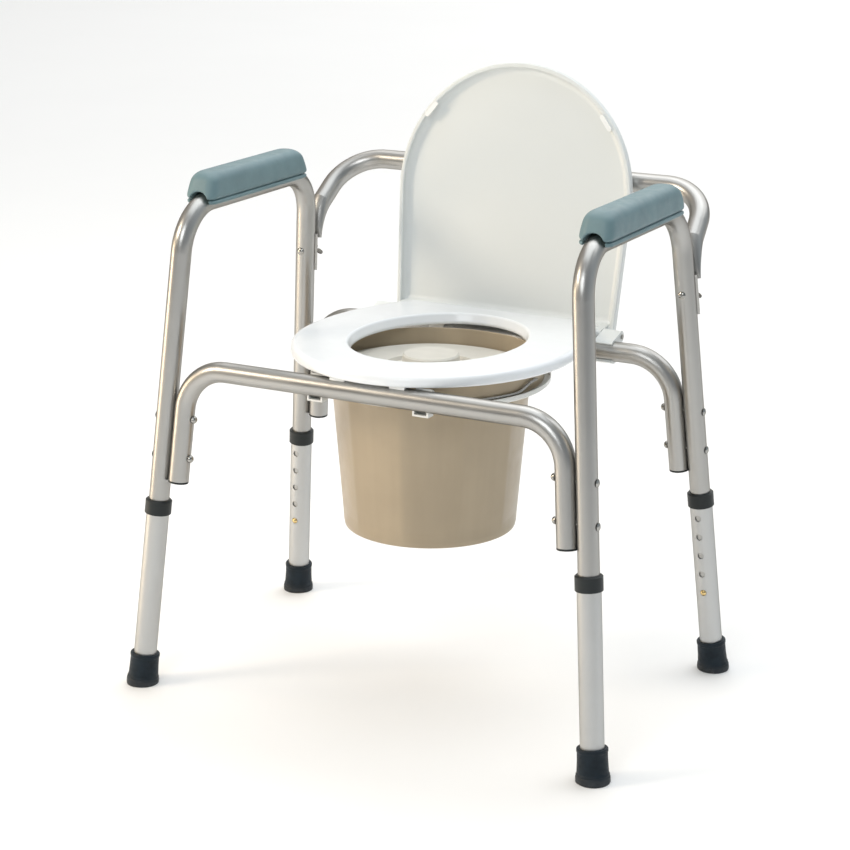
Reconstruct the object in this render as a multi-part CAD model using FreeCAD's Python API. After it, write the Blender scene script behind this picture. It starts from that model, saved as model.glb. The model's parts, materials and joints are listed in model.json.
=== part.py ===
"""Commode chair: tubular aluminium frame, height-adjustable legs, a hinged seat and lid, and a lift-out pail.

Millimetres. X runs to the chair's left hand side seen from the front (the viewer's right), Y to the rear, Z up.
The origin is on the floor, under the middle of the whole chair's box.
"""
import FreeCAD
import Part
import math
import os

V = FreeCAD.Vector
SIDES = (-1, 1)
CORNERS = {"front_left": (-1, -1), "front_right": (1, -1), "rear_left": (-1, 1), "rear_right": (1, 1)}

# frame tubes
TUBE_R = 12.7
TUBE_WALL = 1.6
GAP = 0.3                # between parts that slide or turn on each other
SNUG = 0.05              # between parts that are pressed or bolted together

# leg lines: half spacings at REF_Z, and how far each leg splays per millimetre of height
REF_Z = 450.0
LEG_X = 275.3
LEG_Y = 157.9
SPLAY_X = 0.0829
SPLAY_Y = 0.0805

# arm loops
ARM_Z = 609.8
ARM_BEND_R = 60.0
LEG_TUBE_END_Z = 88.0

# leg extensions, which slide over the frame's legs
EXT_R = 14.3
EXT_TOP_Z = 239.0
EXT_END_S = 9.0
HOLE_Z = 110.6
HOLE_PITCH = 25.4
HOLE_COUNT = 5
HOLE_R = 4.2
COLLAR_LOW_Z = 224.6
COLLAR_HIGH_Z = 243.4
COLLAR_R = 16.6
COLLAR_BEVEL = 1.6
FOOT_TOP_R = 18.0
FOOT_BASE_R = 20.5
FOOT_HEIGHT = 41.0
FOOT_RING_HEIGHT = 12.0
FOOT_LIP = 0.6
FOOT_LIP_HEIGHT = 4.0

# snap buttons
BUTTON_R = 3.9
BUTTON_TIP = 16.6
BUTTON_DOME_R = 4.3
BUTTON_SEAT = 9.4        # outer face of the flange, from the leg's axis
BUTTON_FLANGE = 1.2
BUTTON_FLANGE_R = 5.4
SPRING_THICK = 0.7
SPRING_WIDTH = 8.0
SPRING_HEIGHT = 46.0

# crossbars
BAR_Z = 414.5
BAR_INSET = 26.0
BAR_BEND_R = 57.0
BAR_END_Z = 271.0
BAR_BOLT_Z = (300.0, 350.0)
PLUG_FLANGE = 2.5
PLUG_STEM = 14.0

# backrest tube
BACK_BOLT_Z = 501.5
BACK_PLATE = (474.0, 524.0)
BACK_BEND_Z = 545.0
BACK_X = 258.0
BACK_Y = 253.5
BACK_Z = 614.0
BACK_CORNER_R = 60.0
BACK_LOW_RUN = 28.0       # from the foot of the bow to where the tube is round again
BACK_STAND_OFF = 3.6      # of the bow's foot, behind the leg's surface
BACK_PLATE_WRAP = 136.0   # degrees of the leg that the plate covers
NECK_INTO_PLATE = 6.0
NECK_FLAT = (15.0, 2.6)   # half width and half thickness where the neck leaves the plate
NECK_OVAL = (14.2, 8.0)   # the same half way up
NECK_BULGE = V(0, -3.5, 4.0)
BACK_BOLT_TAIL = 15.0

# wing nuts
WING_BOSS_R = (6.0, 4.6)
WING_BOSS_LENGTH = 7.0
WING_R = 5.0
WING_THICK = 1.8
WING_REACH = 9.5
WING_TURN = 35.0

# arm pads
PAD_HALF_LENGTH = 118.0
PAD_HALF_WIDTH = 21.5
PAD_TOP_HALF_WIDTH = 19.0
PAD_LOW_Z = 611.0
PAD_HIGH_Z = 645.5
PAD_END_SLOPE = 15.0
PAD_CROWN_R = 10.0
PAD_MOUTH_DEPTH = 24.0
PAD_MOUTH_GAP = 3.5
PAD_RIM_R = 2.0

# hinge line shared by seat and lid
HINGE_Y = 182.0
HINGE_Z = 429.0
PIN_R = 3.0
PIN_CLEARANCE = 0.08
LUG_R = 6.5
SEAT_LUG_X = (117.0, 137.0)
LID_LUG_X = (139.0, 149.0)
CLIP_X = (151.0, 176.0)
HINGE_BOSS_R = 7.5
HINGE_CLIP_WALL = 3.0
HINGE_CLIP_MOUTH = 50.0  # half of the clip's open angle, in degrees
PIN_PAST_CLIP = 1.5
LUG_INTO_SEAT = 8.0
SEAT_BORE_DEPTH = 30.0

# seat ring
SEAT_LOW_Z = 430.0
SEAT_HIGH_Z = 444.5
SEAT_HALF_WIDTH = 178.0
SEAT_FRONT_Y = -180.0
SEAT_WIDE_Y = 15.0
SEAT_REAR_Y = 186.0
SEAT_REAR_HALF = 124.0
SEAT_BUMPER_X = (40.0, 112.0)
SEAT_BUMPER_LENGTH = 20.0
SEAT_BUMPER_WIDTH = 12.0
SEAT_CORNER_R = 12.0
SEAT_TOP_R = 7.0
SEAT_UNDER_R = 5.0
HOLE_RIM_R = 3.5
HOLE_HALF_X = 102.0
HOLE_HALF_Y = 124.0
HOLE_Y = 18.0
HOLE_FLARE = 6.0

# lid, standing open
LID_LEAN = 8.2
LID_OFFSET = 16.5        # rim plane behind the hinge line
LID_BASE = 4.0           # lower edge above the hinge line, along the lid
LID_THICK = 14.0
LID_HALF_WIDTH = 165.0
LID_BASE_HALF = 157.3
LID_ARC_S = 164.5
LID_LIP = 6.0
LID_PLATE = 2.6
LID_BACK_R = 6.0
LID_DISH_R = 9.0
LID_LIP_R = 2.0
LID_BUMPER_TURN = 38.0
LID_BUMPER_HEIGHT = 2.6
LID_BUMPER_R = 3.0
LID_BUMPER_LENGTH = 18.0

# pail, its holder and its cover
PAIL_Y = -3.0
PAIL_BASE_Z = 210.0
PAIL_BASE_R = 107.5
PAIL_NECK_Z = 402.5
PAIL_NECK_R = 123.5
PAIL_WALL = 2.5
PAIL_BASE_BEVEL = 3.0
PAIL_RIM_R = 140.0
PAIL_RIM_HEIGHT = 26.5
HOLDER_R = 148.5
HOLDER_HOLE_R = 125.5
HOLDER_LOW_Z = 397.0
HOLDER_HIGH_Z = 403.6
HOLDER_WALL = 2.6
HOLDER_RIM_WALL = 1.8
HOLDER_ARM_THICK = 4.0
ARM_START = 0.8          # where the clips' arms begin, as a share of the hole's radius
CLIP_HALF_SPACING = 71.0
CLIP_WIDTH = 21.0
CLIP_WALL = 2.2
CLIP_FREE_FROM = -108.0  # degrees above level, on the bar's outer side
CLIP_FREE_TO = 105.0
TONGUE_GAP = 3.0         # between the bar's underside and the tongue
TONGUE_REACH = (-7.5, 5.5)
TONGUE_CHEEK = 2.4
CLIP_UPPER_FROM = -60.0  # nothing of the clip stands above this angle on the bar's outer side
WEDGE_STEP = 45.0        # degrees
COVER_R = 133.0
COVER_Z = 406.0
COVER_TOP_Z = 412.0
COVER_THICK = 3.0
COVER_SKIRT_R = 119.6
COVER_SKIRT_Z = 397.0
KNOB_R = 35.0
KNOB_TOP_Z = 428.0
KNOB_BEVEL = 2.0
DISH_R = 58.0            # ring-shaped recess round the knob
DISH_DEPTH = 4.5
COVER_STEP_R = (111.0, 116.0)
SKIRT_WALL = 2.5
BAIL_HALF_X = 143.4
BAIL_REACH = 142.2
BAIL_WIRE_R = 1.75
BAIL_Z = 404.8
BAIL_PIVOT_Z = 413.0
BAIL_RISE = (4.0, 17.0)  # degrees from the pivot between which the wire rises to it
BAIL_STEP = 8.0

# fasteners
BOLT_R = 3.0
BOLT_HOLE_R = 3.2
HEAD_R = 5.0
HEAD_HEIGHT = 2.0
HEAD_SEAT = 0.5          # how far heads and nuts stand off the leaning tubes
NUT_R = 4.8
NUT_HEIGHT = 5.2
NUT_BORE_DEPTH = 4.0

# the chair's box is longer at the back than at the front of the leg lines
DEPTH_SHIFT = -(BACK_Y + TUBE_R - LEG_Y - SPLAY_Y * REF_Z - FOOT_BASE_R) / 2


def save(shape, node):
    """Write one node's STEP file, in the chair's own frame."""
    moved = shape.copy()
    moved.translate(V(0, DEPTH_SHIFT, 0))
    moved.exportStep(os.path.join("parts", node + ".step"))


def leg_x(z):
    return LEG_X + SPLAY_X * (REF_Z - z)


def leg_y(z):
    return LEG_Y + SPLAY_Y * (REF_Z - z)


def on_leg(sx, sy, z):
    """A point on a leg's axis."""
    return V(sx * leg_x(z), sy * leg_y(z), z)


def leg_frame(sx, sy):
    """Placement whose Z runs up a leg's axis from the floor."""
    up = on_leg(sx, sy, REF_Z) - on_leg(sx, sy, 0)
    return FreeCAD.Placement(on_leg(sx, sy, 0), FreeCAD.Rotation(V(0, 0, 1), up))


LEG_COS = REF_Z / (on_leg(1, 1, REF_Z) - on_leg(1, 1, 0)).Length


def leg_up(sx, sy):
    """Direction of a leg's axis, upwards."""
    return (on_leg(sx, sy, REF_Z) - on_leg(sx, sy, 0)).normalize()


def along_leg(z):
    """Distance from the floor along a leg's axis at height z."""
    return z / LEG_COS


def placed(shape, placement):
    moved = shape.copy()
    moved.Placement = placement.multiply(moved.Placement)
    return moved


def cylinder(start, end, radius):
    return Part.makeCylinder(radius, (end - start).Length, start, end - start)


def revolve(profile):
    """Turn a closed outline of (radius, height) points about Z."""
    points = [V(r, 0, z) for r, z in profile]
    face = Part.Face(Part.makePolygon(points + points[:1]))
    return face.revolve(V(0, 0, 0), V(0, 0, 1), 360)


def bent_path(points, radii):
    """Straight runs joined by tangent arcs."""
    edges = []
    last = points[0]
    for before, corner, after, radius in zip(points, points[1:], points[2:], radii):
        back = (before - corner).normalize()
        on = (after - corner).normalize()
        half = back.getAngle(on) / 2
        reach = radius / math.tan(half)
        middle = corner + (back + on).normalize() * (radius / math.sin(half) - radius)
        start = corner + back * reach
        finish = corner + on * reach
        edges.append(Part.LineSegment(last, start).toShape())
        edges.append(Part.Arc(start, middle, finish).toShape())
        last = finish
    edges.append(Part.LineSegment(last, points[-1]).toShape())
    return Part.Wire(edges)


def swept(path, radius):
    """Round solid along a path."""
    start = path.Edges[0]
    at = start.valueAt(start.FirstParameter)
    towards = start.tangentAt(start.FirstParameter)
    ring = Part.Wire(Part.Circle(at, towards, radius).toShape())
    return path.makePipeShell([ring], True, False)


def tube(path, radius=TUBE_R, wall=TUBE_WALL):
    return swept(path, radius).cut(swept(path, radius - wall))


def domed_head(centre, axis, radius=HEAD_R, height=HEAD_HEIGHT):
    """Round bolt head that stands out along axis."""
    ball_r = (radius * radius + height * height) / (2 * height)
    ball = Part.makeSphere(ball_r, V(0, 0, height - ball_r))
    slab = Part.makeCylinder(radius, height, V(0, 0, 0), V(0, 0, 1))
    turn = FreeCAD.Rotation(V(0, 0, 1), axis)
    return placed(ball.common(slab), FreeCAD.Placement(centre, turn))


def bar_bolt_line(sx, sy, z):
    """Where a crossbar bolt enters the leg and where it leaves the crossbar's upright."""
    axis = on_leg(sx, sy, z)
    reach = TUBE_R + HEAD_SEAT
    return axis + V(sx * reach, 0, 0), axis - V(sx * (BAR_INSET + reach), 0, 0)


def button_direction(sy):
    """The snap buttons face the middle of the chair's side."""
    return V(0, -sy, 0)


def side_frame(sx):
    """One bent tube: front leg, arm rail and rear leg."""
    points = [
        on_leg(sx, -1, LEG_TUBE_END_Z),
        on_leg(sx, -1, ARM_Z),
        on_leg(sx, 1, ARM_Z),
        on_leg(sx, 1, LEG_TUBE_END_Z),
    ]
    body = tube(bent_path(points, [ARM_BEND_R, ARM_BEND_R]))
    for sy in SIDES:
        for z in BAR_BOLT_Z:
            outer, inner = bar_bolt_line(sx, sy, z)
            body = body.cut(cylinder(outer + V(sx, 0, 0), inner, BOLT_HOLE_R))
        frame = leg_frame(sx, sy)
        hole = Part.makeCylinder(HOLE_R, TUBE_R + 1, V(0, 0, along_leg(HOLE_Z)), button_direction(sy))
        body = body.cut(placed(hole, frame))
    bolt = on_leg(sx, 1, BACK_BOLT_Z)
    body = body.cut(cylinder(bolt - V(0, TUBE_R + 1, 0), bolt + V(0, TUBE_R + 1, 0), BOLT_HOLE_R))
    return body


def crossbar_path(sy):
    def upright(sx, z):
        return on_leg(sx, sy, z) - V(sx * BAR_INSET, 0, 0)

    points = [upright(-1, BAR_END_Z), upright(-1, BAR_Z), upright(1, BAR_Z), upright(1, BAR_END_Z)]
    return bent_path(points, [BAR_BEND_R, BAR_BEND_R])


def crossbar(sy):
    """Tube across the front or rear, its ends turned down beside the legs."""
    body = tube(crossbar_path(sy))
    for sx in SIDES:
        for z in BAR_BOLT_Z:
            outer, inner = bar_bolt_line(sx, sy, z)
            body = body.cut(cylinder(outer, inner - V(sx, 0, 0), BOLT_HOLE_R))
    return body


def crossbar_bolts():
    """Bolts through each leg and the crossbar's upright beside it."""
    bolts = []
    for sx in SIDES:
        for sy in SIDES:
            for z in BAR_BOLT_Z:
                outer, inner = bar_bolt_line(sx, sy, z)
                shank = cylinder(outer, inner - V(sx * (NUT_BORE_DEPTH - SNUG), 0, 0), BOLT_R)
                bolts.append(shank.fuse(domed_head(outer, V(sx, 0, 0))))
    return Part.makeCompound(bolts)


def crossbar_nuts():
    """Domed nuts on the inner ends of the crossbar bolts."""
    nuts = []
    for sx in SIDES:
        for sy in SIDES:
            for z in BAR_BOLT_Z:
                inner = bar_bolt_line(sx, sy, z)[1]
                inward = V(-sx, 0, 0)
                nut = domed_head(inner, inward, NUT_R, NUT_HEIGHT)
                bore_end = inner + inward * NUT_BORE_DEPTH
                nuts.append(nut.cut(cylinder(inner - inward, bore_end, BOLT_R + SNUG)))
    return Part.makeCompound(nuts)


def crossbar_end_plugs():
    """Plastic plugs in the open ends of the crossbars."""
    plugs = []
    for sx in SIDES:
        for sy in SIDES:
            end = on_leg(sx, sy, BAR_END_Z) - V(sx * BAR_INSET, 0, 0)
            up = leg_up(sx, sy)
            flange = cylinder(end - up * (PLUG_FLANGE + SNUG), end - up * SNUG, TUBE_R)
            stem = cylinder(end - up, end + up * PLUG_STEM, TUBE_R - TUBE_WALL - SNUG)
            plugs.append(flange.fuse(stem))
    return Part.makeCompound(plugs)


def oval(centre, normal, half_x, half_thick):
    """Closed oval section, its long axis kept near X."""
    turn = FreeCAD.Rotation(V(0, 0, 1), normal)
    edge = Part.Ellipse(V(0, 0, 0), half_x, half_thick).toShape()
    edge.Placement = FreeCAD.Placement(centre, turn)
    return Part.Wire(edge)


def backrest_end(sx, arm_start, arm_direction):
    """Half-round plate that hugs the rear leg, and the flattened neck that widens into the round tube."""
    inner_r = TUBE_R + SNUG
    outer_r = inner_r + 2 * TUBE_WALL
    low, high = [along_leg(z) for z in BACK_PLATE]
    ring = Part.makeCylinder(outer_r, high - low, V(0, 0, low), V(0, 0, 1), BACK_PLATE_WRAP)
    ring = ring.cut(Part.makeCylinder(inner_r, high - low, V(0, 0, low)))
    ring.rotate(V(0, 0, 0), V(0, 0, 1), 90 - BACK_PLATE_WRAP / 2)
    plate = placed(ring, leg_frame(sx, 1))
    up = leg_up(sx, 1)
    neck_low = on_leg(sx, 1, BACK_PLATE[1] - NECK_INTO_PLATE) + V(0, outer_r, 0)
    middle = (neck_low + arm_start) * 0.5 + NECK_BULGE
    sections = [
        oval(neck_low, up, *NECK_FLAT),
        oval(middle, (up + arm_direction).normalize(), *NECK_OVAL),
        oval(arm_start, arm_direction, TUBE_R, TUBE_R),
    ]
    neck = Part.makeLoft(sections, True, False)
    bolt = on_leg(sx, 1, BACK_BOLT_Z)
    hole = cylinder(bolt, bolt + V(0, 3 * TUBE_R, 0), BOLT_HOLE_R)
    return plate.fuse(neck).cut(hole)


def backrest_tube():
    """Bowed tube behind the chair that the open lid leans on."""
    corners = [V(sx * BACK_X, BACK_Y, BACK_Z) for sx in SIDES]
    starts = []
    directions = []
    for sx, corner in zip(SIDES, corners):
        low = on_leg(sx, 1, BACK_BEND_Z) + V(0, TUBE_R + BACK_STAND_OFF, 0)
        direction = (corner - low).normalize()
        starts.append(low + direction * BACK_LOW_RUN)
        directions.append(direction)
    body = tube(bent_path([starts[0]] + corners + [starts[1]], [BACK_CORNER_R] * 2))
    for sx, start, direction in zip(SIDES, starts, directions):
        body = body.fuse(backrest_end(sx, start, direction))
    return body.removeSplitter()


def backrest_bolts():
    """Bolts through the rear legs that the wing nuts pull on."""
    bolts = []
    for sx in SIDES:
        axis = on_leg(sx, 1, BACK_BOLT_Z)
        front = axis - V(0, TUBE_R + HEAD_SEAT, 0)
        shank = cylinder(front, axis + V(0, TUBE_R + BACK_BOLT_TAIL, 0), BOLT_R)
        bolts.append(shank.fuse(domed_head(front, V(0, -1, 0))))
    return Part.makeCompound(bolts)


def wing_nut(sx):
    """Wing nut behind the backrest plate: a tapered boss with two rounded blades."""
    base = on_leg(sx, 1, BACK_BOLT_Z) + V(0, TUBE_R + 2 * TUBE_WALL + HEAD_SEAT + GAP, 0)
    body = Part.makeCone(*WING_BOSS_R, WING_BOSS_LENGTH, V(0, 0, 0), V(0, 1, 0))
    for side in SIDES:
        tip = V(side * WING_REACH, WING_BOSS_LENGTH - WING_THICK / 3, -WING_THICK / 2)
        blade = Part.makeCylinder(WING_R, WING_THICK, tip, V(0, 0, 1))
        web = Part.makeBox(WING_REACH, WING_R, WING_THICK)
        web.translate(V(min(0, side * WING_REACH), WING_THICK, -WING_THICK / 2))
        body = body.fuse(blade).fuse(web)
    body = body.cut(Part.makeCylinder(BOLT_R + PIN_CLEARANCE, 2 * WING_BOSS_LENGTH + 2, V(0, -1, 0), V(0, 1, 0)))
    body.rotate(V(0, 0, 0), V(0, 1, 0), WING_TURN)
    body.translate(base)
    return body


def arm_pad(sx):
    """Moulded pad pushed down over the upper half of the arm rail."""
    length = PAD_HALF_LENGTH

    def outline(half_width, half_length, z):
        points = [V(x * half_width, y * half_length, z) for x, y in ((-1, -1), (1, -1), (1, 1), (-1, 1))]
        return Part.makePolygon(points + points[:1])

    low = outline(PAD_HALF_WIDTH, length, PAD_LOW_Z)
    high = outline(PAD_TOP_HALF_WIDTH, length - PAD_END_SLOPE, PAD_HIGH_Z)
    block = Part.makeLoft([low, high], True, True)
    upper = [e for e in block.Edges if e.BoundBox.ZMax > PAD_LOW_Z + 1]
    block = block.makeFillet(PAD_CROWN_R, upper)
    rim = [e for e in block.Edges if e.BoundBox.ZMax < PAD_LOW_Z + 0.1]
    block = block.makeFillet(PAD_RIM_R, rim)
    rail = Part.makeCylinder(TUBE_R + SNUG, 2 * length, V(0, -length, ARM_Z), V(0, 1, 0))
    block = block.cut(rail)
    for end in SIDES:
        start = V(0, end * (length - PAD_MOUTH_DEPTH), ARM_Z)
        mouth = Part.makeCylinder(TUBE_R + PAD_MOUTH_GAP, PAD_MOUTH_DEPTH, start, V(0, end, 0))
        block = block.cut(mouth)
    block.translate(V(sx * leg_x(ARM_Z), 0, 0))
    return block


def leg_extension(sx, sy):
    """Lower leg tube with its row of height holes."""
    top = along_leg(EXT_TOP_Z)
    inner_r = TUBE_R + GAP
    body = Part.makeCylinder(EXT_R, top - EXT_END_S, V(0, 0, EXT_END_S))
    body = body.cut(Part.makeCylinder(inner_r, top - EXT_END_S, V(0, 0, EXT_END_S)))
    for i in range(HOLE_COUNT):
        at = V(0, 0, along_leg(HOLE_Z) + i * HOLE_PITCH)
        body = body.cut(Part.makeCylinder(HOLE_R, EXT_R + 1, at, button_direction(sy)))
    return placed(body, leg_frame(sx, sy))


def collar(sx, sy):
    """Plastic collar that caps the extension and guides the frame's leg."""
    low = along_leg(COLLAR_LOW_Z)
    high = along_leg(COLLAR_HIGH_Z)
    step = along_leg(EXT_TOP_Z) + SNUG
    skirt_r = EXT_R + SNUG
    bore_r = TUBE_R + GAP
    outline = [
        (skirt_r, low),
        (COLLAR_R - COLLAR_BEVEL / 2, low),
        (COLLAR_R, low + COLLAR_BEVEL / 2),
        (COLLAR_R, high - COLLAR_BEVEL),
        (COLLAR_R - COLLAR_BEVEL, high),
        (bore_r, high),
        (bore_r, step),
        (skirt_r, step),
    ]
    return placed(revolve(outline), leg_frame(sx, sy))


def foot(sx, sy):
    """Rubber foot: a cup on the extension's end with a flared, ringed base, flat on the floor."""
    bore_r = EXT_R + SNUG
    floor_s = EXT_END_S - SNUG
    below_floor = -FOOT_RING_HEIGHT / 2
    outline = [
        (0, below_floor),
        (FOOT_BASE_R, below_floor),
        (FOOT_BASE_R, FOOT_RING_HEIGHT * 0.6),
        (FOOT_BASE_R - 2 * FOOT_LIP, FOOT_RING_HEIGHT * 0.8),
        (FOOT_TOP_R + FOOT_LIP, FOOT_RING_HEIGHT),
        (FOOT_TOP_R, FOOT_HEIGHT - FOOT_LIP_HEIGHT - FOOT_LIP),
        (FOOT_TOP_R + FOOT_LIP, FOOT_HEIGHT - FOOT_LIP_HEIGHT),
        (FOOT_TOP_R + FOOT_LIP, FOOT_HEIGHT - FOOT_LIP),
        (FOOT_TOP_R, FOOT_HEIGHT),
        (bore_r, FOOT_HEIGHT),
        (bore_r, floor_s),
        (0, floor_s),
    ]
    body = placed(revolve(outline), leg_frame(sx, sy))
    below = Part.makeBox(100, 100, 50, on_leg(sx, sy, 0) - V(50, 50, 50))
    return body.cut(below)


def snap_button(sx, sy):
    """Domed brass pin with a flange inside the frame's leg."""
    out = button_direction(sy)
    middle = V(0, 0, along_leg(HOLE_Z))
    seat_at = BUTTON_SEAT
    shaft = Part.makeCylinder(BUTTON_R, BUTTON_TIP - seat_at, middle + out * seat_at, out)
    ball = Part.makeSphere(BUTTON_DOME_R, middle + out * (BUTTON_TIP - BUTTON_DOME_R))
    barrel = Part.makeCylinder(BUTTON_R, BUTTON_TIP - BUTTON_DOME_R - seat_at, middle + out * seat_at, out)
    flange = Part.makeCylinder(BUTTON_FLANGE_R, BUTTON_FLANGE, middle + out * (seat_at - BUTTON_FLANGE), out)
    pin = shaft.common(ball).fuse(barrel).fuse(flange)
    return placed(pin, leg_frame(sx, sy))


def button_spring(sx, sy):
    """V of spring strip inside the frame's leg, pushing the button outwards."""
    at = along_leg(HOLE_Z)
    low, high = at - BUTTON_FLANGE_R, at + SPRING_HEIGHT
    near = BUTTON_SEAT - BUTTON_FLANGE - SNUG
    bore_r = TUBE_R - TUBE_WALL - GAP
    far = -math.sqrt(bore_r ** 2 - (SPRING_WIDTH / 2) ** 2)
    middle = (near + far) / 2
    facing = button_direction(sy).y
    outline = [
        (near, low),
        (middle + SPRING_THICK, high),
        (middle - SPRING_THICK, high),
        (far, low),
        (far + SPRING_THICK, low),
        (middle, high - 3 * SPRING_THICK),
        (near - SPRING_THICK, low),
    ]
    points = [V(-SPRING_WIDTH / 2, facing * y, z) for y, z in outline]
    strip = Part.Face(Part.makePolygon(points + points[:1])).extrude(V(SPRING_WIDTH, 0, 0))
    return placed(strip, leg_frame(sx, sy))


def bar_centre(sy):
    """Crossbar axis, as Y and Z."""
    return sy * leg_y(BAR_Z), BAR_Z


def bar_wedge(x_low, width, sy, start, stop):
    """Wedge about a crossbar's axis, between two angles in degrees above level on the bar's outer side."""
    y, z = bar_centre(sy)
    reach = 3 * TUBE_R
    steps = math.ceil((stop - start) / WEDGE_STEP)
    fan = [V(x_low, y, z)]
    for i in range(steps + 1):
        turn = math.radians(start + (stop - start) * i / steps)
        fan.append(V(x_low, y + sy * reach * math.cos(turn), z + reach * math.sin(turn)))
    return Part.Face(Part.makePolygon(fan + fan[:1])).extrude(V(width, 0, 0))


def hook_clip(x_low, sy):
    """Hook round the inner side of a crossbar, with a pocket-shaped tongue that passes under the bar."""
    y, z = bar_centre(sy)
    bore_r = TUBE_R + SNUG
    ring = Part.makeCylinder(bore_r + CLIP_WALL, CLIP_WIDTH, V(x_low, y, z), V(1, 0, 0))
    jaw = ring.cut(bar_wedge(x_low, CLIP_WIDTH, sy, CLIP_FREE_FROM, CLIP_FREE_TO))
    inner, outer = TONGUE_REACH
    floor_z = z - TUBE_R - TONGUE_GAP
    tongue = Part.makeBox(CLIP_WIDTH, outer - inner, TUBE_R + TONGUE_GAP + CLIP_WALL)
    tongue.translate(V(x_low, y + min(sy * inner, sy * outer), floor_z - CLIP_WALL))
    pocket = Part.makeBox(CLIP_WIDTH - 2 * TONGUE_CHEEK, outer - inner, TUBE_R + TONGUE_GAP)
    pocket.translate(V(x_low + TONGUE_CHEEK, y + min(sy * inner, sy * outer) + sy * CLIP_WALL, floor_z))
    body = tongue.cut(pocket).fuse(jaw)
    body = body.cut(bar_wedge(x_low, CLIP_WIDTH, sy, CLIP_UPPER_FROM, CLIP_FREE_TO))
    return body.cut(Part.makeCylinder(bore_r, CLIP_WIDTH, V(x_low, y, z), V(1, 0, 0)))


def hinge_clip(sx):
    """Clip on the rear crossbar whose boss holds the hinge pin."""
    x_low = CLIP_X[0] if sx > 0 else -CLIP_X[1]
    width = CLIP_X[1] - CLIP_X[0]
    y, z = bar_centre(1)
    bore_r = TUBE_R + SNUG
    outer_r = bore_r + HINGE_CLIP_WALL
    ring = Part.makeCylinder(outer_r, width, V(x_low, y, z), V(1, 0, 0))
    boss = Part.makeCylinder(HINGE_BOSS_R, width, V(x_low, HINGE_Y, HINGE_Z), V(1, 0, 0))
    web = [
        V(x_low, y, z + outer_r),
        V(x_low, HINGE_Y - HINGE_BOSS_R / 2, HINGE_Z + HINGE_BOSS_R * math.cos(math.radians(30))),
        V(x_low, HINGE_Y + HINGE_BOSS_R / 2, HINGE_Z - HINGE_BOSS_R * math.cos(math.radians(30))),
        V(x_low, y + outer_r, z),
        V(x_low, y, z),
    ]
    body = ring.fuse(boss)
    body = body.fuse(Part.Face(Part.makePolygon(web + web[:1])).extrude(V(width, 0, 0)))
    body = body.cut(Part.makeCylinder(bore_r, width, V(x_low, y, z), V(1, 0, 0)))
    body = body.cut(bar_wedge(x_low, width, 1, 180 - HINGE_CLIP_MOUTH, 180 + HINGE_CLIP_MOUTH))
    return body.cut(Part.makeCylinder(PIN_R + SNUG, width, V(x_low, HINGE_Y, HINGE_Z), V(1, 0, 0)))


def hinge_pins():
    """Steel pins through the clips, the lid's lugs and the seat's lugs."""
    pins = []
    for sx in SIDES:
        start = V(sx * (SEAT_LUG_X[0] + PIN_PAST_CLIP), HINGE_Y, HINGE_Z)
        end = V(sx * (CLIP_X[1] + PIN_PAST_CLIP), HINGE_Y, HINGE_Z)
        pins.append(cylinder(start, end, PIN_R))
    return Part.makeCompound(pins)


def mirrored_outline(right_edges):
    """Close an outline of right-hand edges with their mirror images across X = 0."""
    wire = Part.Wire(right_edges)
    other = wire.mirror(V(0, 0, 0), V(1, 0, 0))
    return Part.Wire(Part.__sortEdges__(wire.Edges + other.Edges))


def seat_outline(z):
    """D shape: elliptical front, gently closing sides and a straight rear edge."""
    closing = SEAT_HALF_WIDTH - SEAT_REAR_HALF
    run = SEAT_REAR_Y - SEAT_WIDE_Y
    side_r = (closing ** 2 + run ** 2) / (2 * closing)
    half_run = run / 2
    side_x = SEAT_HALF_WIDTH - side_r + math.sqrt(side_r ** 2 - half_run ** 2)
    front = Part.Ellipse(V(0, SEAT_FRONT_Y, z), V(SEAT_HALF_WIDTH, SEAT_WIDE_Y, z), V(0, SEAT_WIDE_Y, z))
    front_edge = Part.ArcOfEllipse(front, 0, math.pi / 2).toShape()
    side = Part.Arc(
        V(SEAT_HALF_WIDTH, SEAT_WIDE_Y, z),
        V(side_x, SEAT_WIDE_Y + half_run, z),
        V(SEAT_REAR_HALF, SEAT_REAR_Y, z),
    ).toShape()
    rear = Part.LineSegment(V(SEAT_REAR_HALF, SEAT_REAR_Y, z), V(0, SEAT_REAR_Y, z)).toShape()
    return mirrored_outline([front_edge, side, rear])


def hole_ring(z, grow):
    """Ellipse of the seat's opening, larger by grow."""
    half_y = HOLE_HALF_Y + grow
    half_x = HOLE_HALF_X + grow
    centre = V(0, HOLE_Y, z)
    return Part.Wire(Part.Ellipse(centre + V(0, half_y, 0), centre + V(half_x, 0, 0), centre).toShape())


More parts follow.
